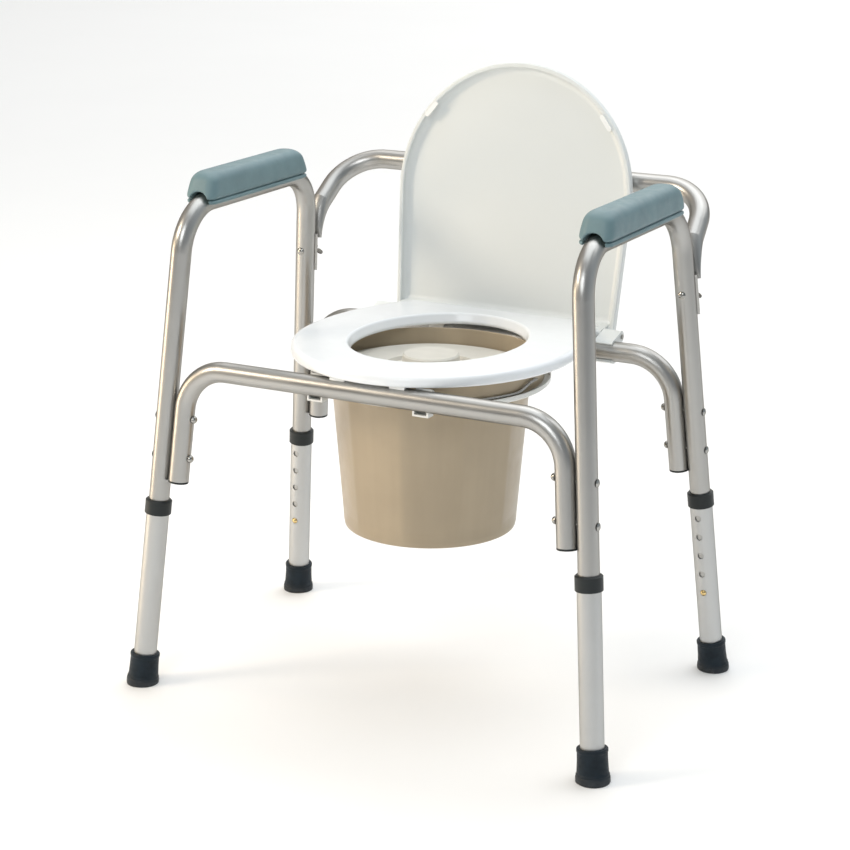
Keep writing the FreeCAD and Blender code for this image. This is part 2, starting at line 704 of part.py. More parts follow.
def seat():
    """Seat ring with a rounded rim, a flared opening and two hinge lugs."""
    thick = SEAT_HIGH_Z - SEAT_LOW_Z
    block = Part.Face(seat_outline(SEAT_LOW_Z)).extrude(V(0, 0, thick))
    corners = [e for e in block.Edges if e.BoundBox.ZLength > thick - 1 and e.BoundBox.YMin > SEAT_REAR_Y - 1]
    block = block.makeFillet(SEAT_CORNER_R, corners)
    block = block.removeSplitter()
    top = [e for e in block.Edges if e.BoundBox.ZMin > SEAT_HIGH_Z - 0.1]
    block = block.makeFillet(SEAT_TOP_R, top)
    bottom = [e for e in block.Edges if e.BoundBox.ZMax < SEAT_LOW_Z + 0.1]
    block = block.makeFillet(SEAT_UNDER_R, bottom)
    flare = Part.makeLoft([hole_ring(SEAT_LOW_Z - 1, 0), hole_ring(SEAT_HIGH_Z + 1, HOLE_FLARE)], True, True)
    block = block.cut(flare)
    rims = [e for e in block.Edges if e.BoundBox.XMax < HOLE_HALF_X + HOLE_FLARE + 1]
    rims = [e for e in rims if e.BoundBox.ZLength < 0.1 and e.BoundBox.XLength > HOLE_HALF_X]
    block = block.makeFillet(HOLE_RIM_R, rims)
    width = SEAT_LUG_X[1] - SEAT_LUG_X[0] + LUG_INTO_SEAT
    for sx in SIDES:
        x_low = SEAT_LUG_X[0] - LUG_INTO_SEAT if sx > 0 else -SEAT_LUG_X[1]
        lug = Part.makeCylinder(LUG_R, width, V(x_low, HINGE_Y, HINGE_Z), V(1, 0, 0))
        block = block.fuse(lug)
        bore_start = V(sx * SEAT_LUG_X[0], HINGE_Y, HINGE_Z)
        bore = Part.makeCylinder(PIN_R + PIN_CLEARANCE, SEAT_BORE_DEPTH, bore_start, V(sx, 0, 0))
        block = block.cut(bore)
    return block


def seat_bumpers():
    """Soft pads under the seat that rest on both crossbars."""
    length, width = SEAT_BUMPER_LENGTH, SEAT_BUMPER_WIDTH
    pads = []
    for sx in SIDES:
        for sy, x in zip(SIDES, SEAT_BUMPER_X):
            y, z = bar_centre(sy)
            pad = Part.makeBox(length, width, SEAT_LOW_Z - SNUG - z)
            pad.translate(V(sx * x - length / 2, y - width / 2, z))
            pads.append(pad.cut(Part.makeCylinder(TUBE_R + GAP, length, V(sx * x - length / 2, y, z), V(1, 0, 0))))
    return Part.makeCompound(pads)


def lid_frame():
    """Placement of the open lid: Y along the lid, Z to its rear, origin on the hinge line."""
    lean = math.radians(LID_LEAN)
    along = V(0, math.sin(lean), math.cos(lean))
    behind = V(0, math.cos(lean), -math.sin(lean))
    turn = FreeCAD.Rotation(V(-1, 0, 0), along, behind, "XYZ")
    return FreeCAD.Placement(V(0, HINGE_Y, HINGE_Z), turn)


def lid_outline(level, inset):
    """Tombstone shape of the lid, in the lid's own plane, moved inwards by inset."""
    low = LID_BASE + inset
    bend = LID_BASE + LID_ARC_S
    half = LID_HALF_WIDTH - inset
    base_half = LID_BASE_HALF - inset
    base = Part.LineSegment(V(0, low, level), V(base_half, low, level)).toShape()
    side = Part.LineSegment(V(base_half, low, level), V(half, bend, level)).toShape()
    diagonal = half / math.sqrt(2)
    arc = Part.Arc(V(half, bend, level), V(diagonal, bend + diagonal, level), V(0, bend + half, level)).toShape()
    return mirrored_outline([base, side, arc])


def lid_lug(sx):
    """Lug from the lid's lower edge to the hinge pin, in the lid's frame."""
    x_low = LID_LUG_X[0] if sx > 0 else -LID_LUG_X[1]
    width = LID_LUG_X[1] - LID_LUG_X[0]
    back = LID_OFFSET + LID_THICK - 3
    points = [
        V(x_low, 5.5, -3.5),
        V(x_low, LID_BASE + 7, LID_OFFSET + 2),
        V(x_low, LID_BASE + 7, back),
        V(x_low, LID_BASE + 1, back),
        V(x_low, -5.0, 4.2),
    ]
    arm = Part.Face(Part.makePolygon(points + points[:1])).extrude(V(width, 0, 0))
    eye = Part.makeCylinder(LUG_R, width, V(x_low, 0, 0), V(1, 0, 0))
    bore = Part.makeCylinder(PIN_R + PIN_CLEARANCE, width, V(x_low, 0, 0), V(1, 0, 0))
    return arm.fuse(eye).cut(bore)


def lid():
    """Dished lid, open side forward, with a lip all round."""
    front = LID_OFFSET
    block = Part.Face(lid_outline(front, 0)).extrude(V(0, 0, LID_THICK))
    rear = [e for e in block.Edges if e.BoundBox.ZMin > front + LID_THICK - 0.1]
    block = block.makeFillet(LID_BACK_R, rear)
    depth = LID_THICK - LID_PLATE
    hollow = Part.Face(lid_outline(front, LID_LIP)).extrude(V(0, 0, depth))
    floor = [e for e in hollow.Edges if e.BoundBox.ZMin > front + depth - 0.1]
    hollow = hollow.makeFillet(LID_DISH_R, floor)
    block = block.cut(hollow)
    lip = [e for e in block.Edges if e.BoundBox.ZMax < front + 0.1]
    block = block.makeFillet(LID_LIP_R, lip)
    for sx in SIDES:
        block = block.fuse(lid_lug(sx))
    return placed(block, lid_frame())


def lid_bumpers():
    """Oval bumpers on the lid's lip that land on the seat."""
    height = LID_BUMPER_HEIGHT - SNUG
    width = 2 * LID_BUMPER_R
    straight = Part.makeBox(width, LID_BUMPER_LENGTH, height, V(-LID_BUMPER_R, -LID_BUMPER_LENGTH / 2, 0))
    bumper = straight
    for end in SIDES:
        round_end = Part.makeCylinder(LID_BUMPER_R, height, V(0, end * LID_BUMPER_LENGTH / 2, 0))
        bumper = bumper.fuse(round_end)
    bumper = bumper.removeSplitter()
    pads = []
    for sx in SIDES:
        turn = math.radians(LID_BUMPER_TURN)
        reach = LID_HALF_WIDTH - LID_LIP - LID_BUMPER_R / 2
        height = LID_BASE + LID_ARC_S + reach * math.sin(turn)
        place = V(sx * reach * math.cos(turn), height, LID_OFFSET - LID_BUMPER_HEIGHT)
        along = FreeCAD.Rotation(V(0, 1, 0), V(-sx * math.sin(turn), math.cos(turn), 0))
        pads.append(placed(placed(bumper, FreeCAD.Placement(place, along)), lid_frame()))
    return Part.makeCompound(pads)


def pail():
    """Tapered pail with a flange at its neck and an upright collar."""
    wall = PAIL_WALL
    flange_z = PAIL_NECK_Z - wall
    rim_top = flange_z + PAIL_RIM_HEIGHT
    bevel = PAIL_BASE_BEVEL
    outline = [
        (0, PAIL_BASE_Z),
        (PAIL_BASE_R - bevel, PAIL_BASE_Z),
        (PAIL_BASE_R, PAIL_BASE_Z + bevel),
        (PAIL_NECK_R, flange_z),
        (PAIL_RIM_R, flange_z),
        (PAIL_RIM_R, rim_top),
        (PAIL_RIM_R - wall, rim_top),
        (PAIL_RIM_R - wall, PAIL_NECK_Z),
        (PAIL_NECK_R - wall, PAIL_NECK_Z),
        (PAIL_BASE_R - wall, PAIL_BASE_Z + wall + bevel),
        (PAIL_BASE_R - wall - bevel, PAIL_BASE_Z + wall),
        (0, PAIL_BASE_Z + wall),
    ]
    body = revolve(outline)
    for sx in SIDES:
        start = V(sx * (PAIL_RIM_R - 2 * wall), 0, BAIL_PIVOT_Z)
        body = body.cut(Part.makeCylinder(BAIL_WIRE_R + PIN_CLEARANCE, 3 * wall, start, V(sx, 0, 0)))
    body.translate(V(0, PAIL_Y, 0))
    return body


def bail_height(turn):
    """Height of the bail's wire at an angle from the nearer pivot."""
    start, finish = BAIL_RISE
    share = min(1.0, max(0.0, (turn - start) / (finish - start)))
    share = share * share * (3 - 2 * share)
    return BAIL_PIVOT_Z + (BAIL_Z - BAIL_PIVOT_Z) * share


def pail_handle():
    """Wire bail lying round the pail's collar; near its ends it rises to its pivots in the collar."""
    points = []
    steps = round(180 / BAIL_STEP * 2)
    for i in range(steps + 1):
        turn = 180 * i / steps
        height = bail_height(min(turn, 180 - turn))
        angle = math.radians(turn)
        points.append(V(BAIL_HALF_X * math.cos(angle), -BAIL_REACH * math.sin(angle), height))
    line = Part.BSplineCurve()
    line.interpolate(points)
    body = swept(Part.Wire(line.toShape()), BAIL_WIRE_R)
    for sx in SIDES:
        knee = V(sx * BAIL_HALF_X, 0, BAIL_PIVOT_Z)
        tip = V(sx * (PAIL_RIM_R - 2 * PAIL_WALL), 0, BAIL_PIVOT_Z)
        end = cylinder(knee, tip, BAIL_WIRE_R).fuse(Part.makeSphere(BAIL_WIRE_R + SNUG, knee))
        body = body.fuse(end)
    body.translate(V(0, PAIL_Y, 0))
    return body


def pail_lid():
    """Cover of the pail: a stepped disc with a ring-shaped recess round a knob, and a skirt in the pail's mouth."""
    thick = COVER_THICK
    underside = COVER_Z - thick
    dish_z = COVER_TOP_Z - DISH_DEPTH
    step_in, step_out = COVER_STEP_R
    outline = [
        (0, COVER_TOP_Z - thick),
        (KNOB_R - thick, dish_z - thick),
        (DISH_R, dish_z - thick),
        (DISH_R + thick, COVER_TOP_Z - thick),
        (step_in - thick, COVER_TOP_Z - thick),
        (step_in, underside),
        (COVER_SKIRT_R - SKIRT_WALL, COVER_SKIRT_Z),
        (COVER_SKIRT_R, COVER_SKIRT_Z),
        (COVER_SKIRT_R, underside),
        (COVER_R, underside),
        (COVER_R, COVER_Z),
        (step_out, COVER_Z),
        (step_in, COVER_TOP_Z),
        (DISH_R + KNOB_BEVEL, COVER_TOP_Z),
        (DISH_R, dish_z),
        (KNOB_R + KNOB_BEVEL, dish_z),
        (KNOB_R, KNOB_TOP_Z - KNOB_BEVEL),
        (KNOB_R - KNOB_BEVEL, KNOB_TOP_Z),
        (0, KNOB_TOP_Z),
    ]
    body = revolve(outline)
    body.translate(V(0, PAIL_Y, 0))
    return body


def pail_holder():
    """Ring that carries the pail's rim, clipped to both crossbars."""
    rim_r = HOLDER_R - HOLDER_RIM_WALL
    floor_z = HOLDER_LOW_Z + HOLDER_WALL
    outline = [
        (HOLDER_HOLE_R, HOLDER_LOW_Z),
        (rim_r, HOLDER_LOW_Z),
        (HOLDER_R, HOLDER_LOW_Z + HOLDER_RIM_WALL),
        (HOLDER_R, HOLDER_HIGH_Z),
        (rim_r, HOLDER_HIGH_Z),
        (rim_r, floor_z),
        (HOLDER_HOLE_R, floor_z),
    ]
    body = revolve(outline)
    body.translate(V(0, PAIL_Y, 0))
    room = Part.makeCylinder(HOLDER_R - HOLDER_RIM_WALL / 2, 2 * TUBE_R, V(0, PAIL_Y, HOLDER_LOW_Z))
    for sx in SIDES:
        for sy in SIDES:
            x_low = sx * CLIP_HALF_SPACING - CLIP_WIDTH / 2
            y, z = bar_centre(sy)
            near_y = abs(y) - TUBE_R - CLIP_WALL
            arm = Part.makeBox(CLIP_WIDTH, near_y + CLIP_WALL - HOLDER_HOLE_R * ARM_START, HOLDER_ARM_THICK)
            arm.translate(V(x_low, HOLDER_HOLE_R * ARM_START, floor_z))
            wall = Part.makeBox(CLIP_WIDTH, HOLDER_ARM_THICK, z - floor_z, V(x_low, near_y, floor_z))
            bridge = arm.fuse(wall)
            if sy < 0:
                bridge = bridge.mirror(V(0, 0, 0), V(0, 1, 0))
            body = body.fuse(bridge.cut(room)).fuse(hook_clip(x_low, sy))
    for sy in SIDES:
        y, z = bar_centre(sy)
        body = body.cut(Part.makeCylinder(TUBE_R + SNUG, 2 * LEG_X, V(-LEG_X, y, z), V(1, 0, 0)))
    return body.removeSplitter()


def main():
    os.makedirs("parts", exist_ok=True)
    for name, sx in (("left", -1), ("right", 1)):
        save(side_frame(sx), "side_frame_" + name)
        save(arm_pad(sx), "arm_pad_" + name)
        save(wing_nut(sx), "wing_nut_" + name)
        save(hinge_clip(sx), "hinge_clip_" + name)
    save(crossbar(-1), "crossbar_front")
    save(crossbar(1), "crossbar_rear")
    save(crossbar_bolts(), "crossbar_bolts")
    save(crossbar_nuts(), "crossbar_nuts")
    save(crossbar_end_plugs(), "crossbar_end_plugs")
    save(backrest_tube(), "backrest_tube")
    save(backrest_bolts(), "backrest_bolts")
    save(hinge_pins(), "hinge_pins")
    for name, (sx, sy) in CORNERS.items():
        save(leg_extension(sx, sy), "leg_extension_" + name)
        save(collar(sx, sy), "collar_" + name)
        save(foot(sx, sy), "foot_" + name)
        save(snap_button(sx, sy), "snap_button_" + name)
        save(button_spring(sx, sy), "button_spring_" + name)
    save(seat(), "seat")
    save(seat_bumpers(), "seat_bumpers")
    save(lid(), "lid")
    save(lid_bumpers(), "lid_bumpers")
    save(pail_holder(), "pail_holder")
    save(pail(), "pail")
    save(pail_handle(), "pail_handle")
    save(pail_lid(), "pail_lid")


main()
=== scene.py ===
"""Commode chair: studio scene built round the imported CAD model."""

import json
import math

import bmesh
import bpy
from mathutils import Matrix, Vector


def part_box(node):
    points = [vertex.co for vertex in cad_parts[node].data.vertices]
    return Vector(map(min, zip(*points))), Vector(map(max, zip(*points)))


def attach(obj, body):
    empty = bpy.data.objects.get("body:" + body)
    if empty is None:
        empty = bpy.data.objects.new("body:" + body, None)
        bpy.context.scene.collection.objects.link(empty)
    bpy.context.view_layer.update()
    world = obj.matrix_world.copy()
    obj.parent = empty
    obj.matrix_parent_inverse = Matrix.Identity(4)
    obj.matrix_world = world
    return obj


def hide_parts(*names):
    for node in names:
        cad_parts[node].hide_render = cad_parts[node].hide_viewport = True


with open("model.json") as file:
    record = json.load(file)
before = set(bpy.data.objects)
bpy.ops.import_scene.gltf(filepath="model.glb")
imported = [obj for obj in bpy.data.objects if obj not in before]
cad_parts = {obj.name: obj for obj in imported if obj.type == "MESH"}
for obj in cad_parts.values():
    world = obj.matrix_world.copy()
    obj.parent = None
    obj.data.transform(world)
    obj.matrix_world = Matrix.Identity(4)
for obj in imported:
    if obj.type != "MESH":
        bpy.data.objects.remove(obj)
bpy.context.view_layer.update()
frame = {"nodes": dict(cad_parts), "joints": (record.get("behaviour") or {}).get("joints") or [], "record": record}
NODES = frame["nodes"]
JOINTS = {j["name"]: j for j in frame["joints"]}
CORNERS = ("front_left", "front_right", "rear_left", "rear_right")
MM = 0.001


# ---------------------------------------------------------------- materials

class Shader:
    """A procedural material under construction: one Principled shader and the textures that feed it."""

    def __init__(self, name, metallic=0.0):
        self.material = bpy.data.materials.new(name)
        self.material.use_nodes = True
        self.tree = self.material.node_tree
        self.tree.nodes.clear()
        output = self.tree.nodes.new("ShaderNodeOutputMaterial")
        self.surface = self.tree.nodes.new("ShaderNodeBsdfPrincipled")
        self.link(self.surface.outputs["BSDF"], output.inputs["Surface"])
        self.surface.inputs["Metallic"].default_value = metallic
        self.surface.inputs["IOR"].default_value = 1.5
        self.place = self.tree.nodes.new("ShaderNodeTexCoord").outputs["Object"]

    def link(self, source, target):
        self.tree.links.new(source, target)

    def stretched(self, scale):
        """Object coordinates, stretched by a scale for each axis."""
        mapping = self.tree.nodes.new("ShaderNodeMapping")
        mapping.inputs["Scale"].default_value = scale
        self.link(self.place, mapping.inputs["Vector"])
        return mapping.outputs["Vector"]

    def noise(self, scale, detail, stretch=(1, 1, 1)):
        texture = self.tree.nodes.new("ShaderNodeTexNoise")
        texture.inputs["Scale"].default_value = scale
        texture.inputs["Detail"].default_value = detail
        texture.inputs["Roughness"].default_value = 0.55
        self.link(self.stretched(stretch), texture.inputs["Vector"])
        return texture.outputs["Fac"]

    def cells(self, scale):
        texture = self.tree.nodes.new("ShaderNodeTexVoronoi")
        texture.feature = "F1"
        texture.inputs["Scale"].default_value = scale
        self.link(self.place, texture.inputs["Vector"])
        return texture.outputs["Distance"]

    def height(self):
        """Height above the floor."""
        split = self.tree.nodes.new("ShaderNodeSeparateXYZ")
        self.link(self.place, split.inputs[0])
        return split.outputs["Z"]

    def remap(self, value, low, high, to_low=0.0, to_high=1.0):
        node = self.tree.nodes.new("ShaderNodeMapRange")
        node.interpolation_type = "SMOOTHSTEP"
        limits = {"From Min": low, "From Max": high, "To Min": to_low, "To Max": to_high}
        for socket, number in limits.items():
            node.inputs[socket].default_value = number
        self.link(value, node.inputs["Value"])
        return node.outputs["Result"]

    def maths(self, operation, first, second):
        node = self.tree.nodes.new("ShaderNodeMath")
        node.operation = operation
        for socket, value in zip(node.inputs, (first, second)):
            if isinstance(value, float):
                socket.default_value = value
            else:
                self.link(value, socket)
        return node.outputs[0]

    def blend(self, factor, first, second):
        """Mix of two values."""
        node = self.tree.nodes.new("ShaderNodeMix")
        self.link(factor, node.inputs["Factor"])
        self.link(first, node.inputs[2])
        self.link(second, node.inputs[3])
        return node.outputs[0]

    def tint(self, factor, dark, light):
        """Colour between dark and light."""
        node = self.tree.nodes.new("ShaderNodeMix")
        node.data_type = "RGBA"
        self.link(factor, node.inputs["Factor"])
        for index, colour in ((6, dark), (7, light)):
            if isinstance(colour, tuple):
                node.inputs[index].default_value = (*colour, 1.0)
            else:
                self.link(colour, node.inputs[index])
        return node.outputs[2]

    def colour(self, value):
        self.link(value, self.surface.inputs["Base Color"])

    def roughness(self, value):
        self.link(value, self.surface.inputs["Roughness"])

    def bump(self, *layers):
        """Each layer is a height, a strength and a depth in metres."""
        normal = None
        for value, strength, depth in layers:
            node = self.tree.nodes.new("ShaderNodeBump")
            node.inputs["Strength"].default_value = strength
            node.inputs["Distance"].default_value = depth
            self.link(value, node.inputs["Height"])
            if normal is not None:
                self.link(normal, node.inputs["Normal"])
            normal = node.outputs["Normal"]
        self.link(normal, self.surface.inputs["Normal"])


def shades(colour, dark, light):
    """A darker and a lighter version of one colour."""
    return tuple(c * dark for c in colour), tuple(min(1.0, c * light) for c in colour)


# How a tube's drawing lines are stretched, for the axis that they run along.
FINE, LONG = 1.0, 0.012
ALONG = {"x": (LONG, FINE, FINE), "y": (FINE, LONG, FINE), "z": (FINE, FINE, LONG)}


def anodised(name, colour, low_axis="z", high_axis=None, turn_at=0.0, rough=(0.31, 0.38)):
    """Satin anodised tube: fine drawing lines along the tube, faint clouding and small scuffs."""
    s = Shader(name, metallic=1.0)
    s.surface.inputs["Specular Tint"].default_value = (0.42, 0.40, 0.37, 1.0)
    lines = s.noise(1500.0, 3.0, ALONG[low_axis])
    if high_axis:
        above = s.remap(s.height(), turn_at - 0.02, turn_at + 0.02)
        lines = s.blend(above, lines, s.noise(1500.0, 3.0, ALONG[high_axis]))
    cloud = s.noise(9.0, 5.0)
    dark, light = shades(colour, 0.95, 1.03)
    s.colour(s.tint(s.remap(cloud, 0.3, 0.7), dark, light))
    base = s.remap(cloud, 0.25, 0.75, *rough)
    s.roughness(s.maths("ADD", base, s.remap(lines, 0.3, 0.7, -0.035, 0.035)))
    s.bump((lines, 0.10, 0.00004), (s.noise(2600.0, 2.0), 0.06, 0.00003))
    return s.material


def moulded(name, colour, rough, grain=900.0, grain_strength=0.08, variation=(0.985, 1.01), shine=0.5):
    """Moulded plastic: faint flow marks, uneven gloss and a fine skin."""
    s = Shader(name)
    s.surface.inputs["Specular IOR Level"].default_value = shine
    marks = s.noise(5.0, 2.0)
    dark, light = shades(colour, *variation)
    s.colour(s.tint(s.remap(marks, 0.2, 0.8), dark, light))
    smear = s.noise(38.0, 5.0)
    s.roughness(s.remap(smear, 0.25, 0.75, *rough))
    s.bump((s.noise(grain, 3.0), grain_strength, 0.00005), (s.noise(22.0, 1.0), 0.02, 0.0002))
    return s.material


def plated(name, colour, rough):
    """Small plated or solid metal part: uneven sheen with fine random marks."""
    s = Shader(name, metallic=1.0)
    s.surface.inputs["Specular Tint"].default_value = (0.34, 0.33, 0.31, 1.0)
    blotch = s.noise(210.0, 5.0)
    dark, light = shades(colour, 0.86, 1.06)
    s.colour(s.tint(s.remap(blotch, 0.3, 0.72), dark, light))
    s.roughness(s.remap(s.noise(420.0, 3.0), 0.3, 0.7, *rough))
    s.bump((s.noise(1800.0, 3.0), 0.12, 0.00005))
    return s.material


def rubber(name, colour, dust):
    """Dark rubber that has picked up a little dust near the floor."""
    s = Shader(name)
    s.surface.inputs["Specular IOR Level"].default_value = 0.22
    dark, light = shades(colour, 0.8, 1.25)
    body = s.tint(s.remap(s.noise(70.0, 5.0), 0.3, 0.7), dark, light)
    low = s.remap(s.height(), 0.014, 0.0, 0.0, 0.4)
    s.colour(s.tint(s.maths("MULTIPLY", low, s.noise(120.0, 6.0)), body, dust))
    s.roughness(s.remap(s.noise(260.0, 4.0), 0.3, 0.7, 0.42, 0.62))
    s.bump((s.noise(1100.0, 4.0), 0.25, 0.0001), (s.cells(520.0), 0.08, 0.0001))
    return s.material


# Heights between which an arm pad's crown fades into a painted highlight, in metres.
PAD_CROWN_LOW, PAD_CROWN_HIGH = 0.634, 0.644


def pad_skin(name, colour):
    """Moulded pad: leathery grain, with a painted highlight lightening its crown."""
    s = Shader(name)
    dark, light = shades(colour, 0.93, 1.06)
    body = s.tint(s.remap(s.noise(32.0, 5.0), 0.3, 0.7), dark, light)
    # Painted highlight: the crown is painted lighter towards its top, broken up by noise.
    crown_highlight_colour = tuple(min(1.0, c * 1.10 + 0.01) for c in colour)
    crown = s.remap(s.height(), PAD_CROWN_LOW, PAD_CROWN_HIGH, 0.0, 0.6)
    painted_highlight = s.maths("MULTIPLY", crown, s.noise(55.0, 6.0))
    s.colour(s.tint(painted_highlight, body, crown_highlight_colour))
    s.roughness(s.remap(s.noise(90.0, 4.0), 0.25, 0.75, 0.40, 0.54))
    s.bump((s.cells(1150.0), 0.22, 0.00012), (s.noise(2400.0, 3.0), 0.10, 0.00005))
    return s.material


def streaked_plastic(name, colour, rough, flow):
    """Thick bucket plastic with soft flow lines; flow stretches them along an axis."""
    s = Shader(name)
    streak = s.noise(26.0, 4.0, flow)
    cloud = s.noise(7.0, 4.0)
    dark, light = shades(colour, 0.93, 1.05)
    s.colour(s.tint(s.remap(s.maths("MULTIPLY", streak, cloud), 0.12, 0.40), dark, light))
    s.roughness(s.remap(s.noise(45.0, 5.0), 0.25, 0.75, *rough))
    s.bump((streak, 0.05, 0.0004), (s.noise(1300.0, 3.0), 0.08, 0.00006))
    return s.material


def floor_paint():
    """Plain pale studio floor."""
    s = Shader("studio_floor")
    s.colour(s.tint(s.noise(1.7, 3.0), (0.905, 0.905, 0.90), (0.925, 0.925, 0.92)))
    s.roughness(s.remap(s.noise(5.0, 3.0), 0.3, 0.7, 0.75, 0.85))
    s.bump((s.noise(600.0, 3.0), 0.05, 0.0001))
    return s.material


# Heights at which a bent tube's drawing lines turn from upright to level, in metres.
ARM_RAIL_TURN, CROSSBAR_TURN, BACKREST_TURN = 0.585, 0.385, 0.600

ALUMINIUM = (0.45, 0.445, 0.43)
WHITE = (0.87, 0.895, 0.915)
LID_WHITE = (0.74, 0.765, 0.755)

SIDE_TUBE = anodised("side_tube_aluminium", ALUMINIUM, "z", "y", ARM_RAIL_TURN)
CROSS_TUBE = anodised("crossbar_aluminium", ALUMINIUM, "z", "x", CROSSBAR_TURN)
BACK_TUBE = anodised("backrest_aluminium", ALUMINIUM, "z", "x", BACKREST_TURN)
LEG_TUBE = anodised("leg_extension_aluminium", (0.56, 0.565, 0.56), "z", rough=(0.40, 0.50))
ZINC = plated("zinc_hardware", (0.42, 0.415, 0.395), (0.14, 0.26))
BRASS = plated("brass_button", (0.80, 0.60, 0.28), (0.18, 0.34))
DARK_ZINC = plated("dark_hardware", (0.16, 0.155, 0.145), (0.20, 0.34))
WIRE = plated("steel_wire", (0.46, 0.45, 0.43), (0.25, 0.40))
DARK_PLASTIC = moulded("dark_plastic", (0.020, 0.024, 0.025), (0.36, 0.48), 700.0, 0.15, (0.85, 1.2), 0.28)
FOOT_RUBBER = rubber("foot_rubber", (0.009, 0.016, 0.023), (0.16, 0.155, 0.15))
SOFT_WHITE = moulded("bumper_rubber", (0.88, 0.89, 0.88), (0.45, 0.55))
SEAT_WHITE = moulded("seat_plastic", WHITE, (0.13, 0.24), 500.0, 0.05)
LID_PLASTIC = moulded("lid_plastic", LID_WHITE, (0.28, 0.34), 600.0, 0.09)
HOLDER_PLASTIC = moulded("holder_plastic", (0.74, 0.74, 0.71), (0.26, 0.36), 600.0, 0.08)
PAIL_PLASTIC = streaked_plastic("pail_plastic", (0.405, 0.326, 0.222), (0.30, 0.42), (1, 1, 0.05))
COVER_PLASTIC = streaked_plastic("pail_lid_plastic", (0.66, 0.64, 0.58), (0.28, 0.40), (1, 1, 1))
PAD_SKIN = pad_skin("arm_pad_skin", (0.138, 0.222, 0.243))

FINISH = {
    "frame_tube": SIDE_TUBE,
    "leg_tube": LEG_TUBE,
    "zinc_hardware": ZINC,
    "brass_button": BRASS,
    "steel_wire": WIRE,
    "dark_plastic": DARK_PLASTIC,
    "foot_rubber": FOOT_RUBBER,
    "arm_pad": PAD_SKIN,
    "seat_plastic": SEAT_WHITE,
    "lid_plastic": LID_PLASTIC,
    "bumper_rubber": SOFT_WHITE,
    "pail_plastic": PAIL_PLASTIC,
    "pail_lid_plastic": COVER_PLASTIC,
}
OWN_FINISH = {
    "crossbar_front": CROSS_TUBE,
    "crossbar_rear": CROSS_TUBE,
    "backrest_tube": BACK_TUBE,
    "pail_holder": HOLDER_PLASTIC,
    "wing_nut_left": DARK_ZINC,
    "wing_nut_right": DARK_ZINC,
}


def finish_cad():
    """Every CAD node gets the procedural material of its slot."""
    for entry in frame["record"]["subparts"]:
        obj = NODES[entry["node"]]
        material = OWN_FINISH.get(entry["node"], FINISH[entry["material_slot"]])
        obj.data.materials.clear()
        obj.data.materials.append(material)


# ---------------------------------------------------------------- pieces

def new_object(name, data):
    obj = bpy.data.objects.new(name, data)
    bpy.context.scene.collection.objects.link(obj)
    return obj


def mesh_object(name, bm):
    bmesh.ops.recalc_face_normals(bm, faces=bm.faces)
    mesh = bpy.data.meshes.new(name)
    bm.to_mesh(mesh)
    bm.free()
    return new_object(name, mesh)


def stand_for(obj, node, body, material):
    """Let a detailed piece take a CAD node's place."""
    obj.data.materials.clear()
    obj.data.materials.append(material)
    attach(obj, body)
    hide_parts(node)


def lathe(name, outline, placement, segments=96, radius_at=None):
    """Smooth solid of revolution from (radius, height) points; the first and last radius are 0."""
    bm = bmesh.new()
    rings = []
    for radius, height in outline:
        if radius == 0:
            rings.append([bm.verts.new((0, 0, height))])
            continue
        ring = []
        for i in range(segments):
            turn = 2 * math.pi * i / segments
            r = radius_at(radius, height, turn) if radius_at else radius
            ring.append(bm.verts.new((r * math.cos(turn), r * math.sin(turn), height)))
        rings.append(ring)
    for lower, upper in zip(rings, rings[1:]):
        for i in range(segments):
            j = (i + 1) % segments
            corners = [lower[i % len(lower)], lower[j % len(lower)]]
            corners += [upper[j % len(upper)], upper[i % len(upper)]]
            unique = list(dict.fromkeys(corners))
            if len(unique) > 2:
                bm.faces.new(unique)
    obj = mesh_object(name, bm)
    obj.data.shade_smooth()
    obj.data.transform(placement)
    return obj


def rounded(outline, radius, steps=4):
    """Round the corners of a (radius, height) outline."""
    points = [Vector(p) for p in outline]
    result = [tuple(points[0])]
    for before, corner, after in zip(points, points[1:], points[2:]):
        back, on = before - corner, after - corner
        reach = min(radius, back.length * 0.45, on.length * 0.45)
        start = corner + back.normalized() * reach
        end = corner + on.normalized() * reach
        for i in range(steps + 1):
            t = i / steps
            result.append(tuple(start.lerp(corner, t).lerp(corner.lerp(end, t), t)))
    result.append(tuple(points[-1]))
    return result


def leg_placement(corner):
    """Matrix whose Z runs up a leg's axis from the floor, found from the leg's slide and its foot."""
    up = -Vector(JOINTS["leg_slide_" + corner]["axis"]).normalized()
    low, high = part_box("leg_extension_" + corner)
    middle = (low + high) / 2
    base = middle - up * (middle.z / up.z)
    turn = Vector((0, 0, 1)).rotation_difference(up).to_matrix().to_4x4()
    return Matrix.Translation(base) @ turn


def foot(corner):
    """Rubber foot with a rolled top lip, a waist, a flared ring and a flat tread."""
    bore, lip, waist, base = 14.4, 18.6, 18.0, 20.5
    sunk, ring_top, groove_top, lip_base, socket, top = 4.0, 6.4, 9.0, 36.6, 36.0, 41.0
    outline = [
        (0, -sunk),
        (base - 1.0, -sunk),
        (base, 0.6),
        (base, ring_top),
        (base - 0.7, ring_top + 1.0),
        (base - 0.9, groove_top - 0.7),
        (base - 0.5, groove_top),
        (waist + 0.9, groove_top + 2.6),
        (waist + 0.2, 24.0),
        (waist, lip_base - 1.0),
        (lip, lip_base),
        (lip, top - 1.1),
        (lip - 0.9, top),
        (bore, top),
        (bore, socket),
        (0, socket),
    ]
    profile = [(r * MM, z * MM) for r, z in rounded(outline, 0.6)]
    obj = lathe("rubber_foot_" + corner, profile, leg_placement(corner))
    for vertex in obj.data.vertices:
        vertex.co.z = max(vertex.co.z, 0.0)  # the tread is flat on the floor
    stand_for(obj, "foot_" + corner, "leg_" + corner, FOOT_RUBBER)


